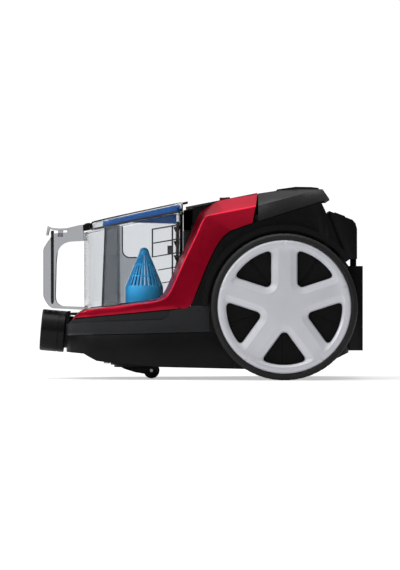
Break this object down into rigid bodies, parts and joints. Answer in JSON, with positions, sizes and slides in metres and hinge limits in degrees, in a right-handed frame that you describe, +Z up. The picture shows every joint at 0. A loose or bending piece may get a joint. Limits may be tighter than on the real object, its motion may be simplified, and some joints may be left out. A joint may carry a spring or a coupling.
{
  "type": "canister vacuum cleaner",
  "caption": "Bagless canister vacuum: large spoked rear wheels, front caster, clear dust bucket with handle and lid, nose hose socket, motor, filters and cord reel inside.",
  "frame": {"origin": "centre of the bounding box on the floor, under the wheels and the caster", "axes": "+X points to the tail, -X to the nose with the hose socket, +Z up; the nodes called left are at -Y and those called right at +Y"},
  "size_m": [0.4115, 0.281, 0.2439],
  "materials": {
    "shell_black": "gloss",
    "housing_black": "satin",
    "skirt_grey": "satin",
    "trim_red": "metallic gloss",
    "cover_grey": "satin",
    "clear_smoke": "clear, smoked",
    "inner_smoke": "clear, dark",
    "cone_blue": "clear blue",
    "grille_black": "satin",
    "silver": "satin silver",
    "tyre_rubber": "matt",
    "seal_rubber": "matt",
    "steel": "bright",
    "motor_metal": "cast",
    "motor_core": "varnished laminations",
    "filter_white": "pleated",
    "foam": "open foam",
    "board_green": "satin",
    "roller_grey": "matt"
  },
  "bodies": {
    "chassis": {"bottom_shell": "shell_black", "main_housing": "housing_black", "cradle": "housing_black", "side_panel_left": "skirt_grey", "side_panel_right": "skirt_grey", "trim_left": "trim_red", "trim_right": "trim_red", "top_deck": "shell_black", "rear_cover": "cover_grey", "power_spring": "steel", "rewind_spring": "steel", "exhaust_filter": "filter_white", "rear_dock": "housing_black", "cord_outlet": "seal_rubber", "inlet_collar": "housing_black", "inlet_seal": "seal_rubber", "inlet_duct": "housing_black", "filter_frame": "grille_black", "foam_filter": "foam", "fan_cover": "motor_metal", "motor_frame": "motor_core", "motor_mounts": "seal_rubber", "reel_axle": "steel", "control_board": "board_green", "body_screws": "steel", "wheel_axles": "steel"},
    "slider": {"power_slider": "trim_red"},
    "power_key": {"power_pedal": "cover_grey"},
    "rewind_key": {"rewind_pedal": "cover_grey"},
    "brake": {"brake_lever": "steel", "brake_roller": "roller_grey"},
    "door": {"exhaust_door": "housing_black"},
    "latch_button": {"door_latch": "cover_grey"},
    "rotor": {"motor_rotor": "motor_core", "impeller": "motor_metal"},
    "reel": {"reel_drum": "grille_black"},
    "bucket": {"bucket_shell": "clear_smoke", "bucket_handle": "clear_smoke", "riser_duct": "inner_smoke", "cyclone_baffle": "inner_smoke", "louvre_grid": "grille_black", "cyclone_cone": "cone_blue", "bucket_pins": "steel"},
    "lid": {"bucket_lid": "clear_smoke", "lid_seal": "seal_rubber", "cyclone_cap": "cone_blue"},
    "lever": {"release_lever": "clear_smoke"},
    "plunger": {"latch_rod": "grille_black"},
    "left_wheel": {"wheel_left": "shell_black", "tyre_left": "tyre_rubber", "hubcap_left": "silver"},
    "right_wheel": {"wheel_right": "shell_black", "tyre_right": "tyre_rubber", "hubcap_right": "silver"},
    "caster": {"caster_fork": "housing_black", "caster_pin": "steel"},
    "roller": {"caster_roller": "roller_grey"}
  },
  "joints": [
    {"name": "wheel_left_roll", "type": "hinge", "parent": "chassis", "child": "left_wheel", "pos_m": [0.1055, -0.121, 0.092], "axis": [0, 1, 0], "continuous": true},
    {"name": "wheel_right_roll", "type": "hinge", "parent": "chassis", "child": "right_wheel", "pos_m": [0.1055, 0.121, 0.092], "axis": [0, 1, 0], "continuous": true},
    {"name": "caster_swivel", "type": "hinge", "parent": "chassis", "child": "caster", "pos_m": [-0.08, 0, 0.03], "axis": [0, 0, 1], "continuous": true},
    {"name": "caster_roll", "type": "hinge", "parent": "caster", "child": "roller", "pos_m": [-0.062, 0, 0.0102], "axis": [0, 1, 0], "continuous": true},
    {"name": "motor_spin", "type": "hinge", "parent": "chassis", "child": "rotor", "pos_m": [0.06, -0.038, 0.092], "axis": [1, 0, 0], "continuous": true},
    {"name": "reel_spin", "type": "hinge", "parent": "chassis", "child": "reel", "pos_m": [0.112, 0.047, 0.11], "axis": [0, 1, 0], "continuous": true},
    {"name": "power_press", "type": "hinge", "parent": "chassis", "child": "power_key", "pos_m": [0.1, -0.035, 0.2365], "axis": [0, 1, 0], "range_deg": [0, 4], "stiffness_Nm_per_rad": 1.5, "springref_deg": -2.86, "deforming": ["power_spring"]},
    {"name": "rewind_press", "type": "hinge", "parent": "chassis", "child": "rewind_key", "pos_m": [0.1, 0.035, 0.2365], "axis": [0, 1, 0], "range_deg": [0, 4], "stiffness_Nm_per_rad": 1.5, "springref_deg": -2.86, "deforming": ["rewind_spring"]},
    {"name": "brake_release", "type": "hinge", "parent": "chassis", "child": "brake", "pos_m": [0.1395, 0.05, 0.19], "axis": [0, -1, 0], "range_deg": [0, 5.5]},
    {"name": "power_slide", "type": "slide", "parent": "chassis", "child": "slider", "axis": [0.9815, 0, 0.1914], "range_m": [0, 0.03]},
    {"name": "door_open", "type": "hinge", "parent": "chassis", "child": "door", "pos_m": [0.196, 0, 0.1545], "axis": [0, 1, 0], "range_deg": [0, 75]},
    {"name": "latch_press", "type": "slide", "parent": "door", "child": "latch_button", "axis": [-0.3551, 0, -0.9348], "range_m": [0, 0.0015], "stiffness_N_per_m": 400, "springref_m": -0.002},
    {"name": "bucket_lift", "type": "slide", "parent": "chassis", "child": "bucket", "axis": [0, 0, 1], "range_m": [0, 0.2]},
    {"name": "lid_open", "type": "hinge", "parent": "bucket", "child": "lid", "pos_m": [-0.144, 0, 0.1945], "axis": [0, -1, 0], "range_deg": [0, 95]},
    {"name": "lever_press", "type": "hinge", "parent": "bucket", "child": "lever", "pos_m": [-0.1785, 0, 0.1835], "axis": [0, -1, 0], "range_deg": [0, 8], "stiffness_Nm_per_rad": 1, "springref_deg": -2.86},
    {"name": "plunger_slide", "type": "slide", "parent": "bucket", "child": "plunger", "axis": [0, 0, -1], "range_m": [0, 0.0017]}
  ],
  "couplings": [
    {"joint": "brake_release", "follows": "rewind_press", "ratio": 1.3},
    {"joint": "plunger_slide", "follows": "lever_press", "m_per_rad": 0.0115}
  ]
}
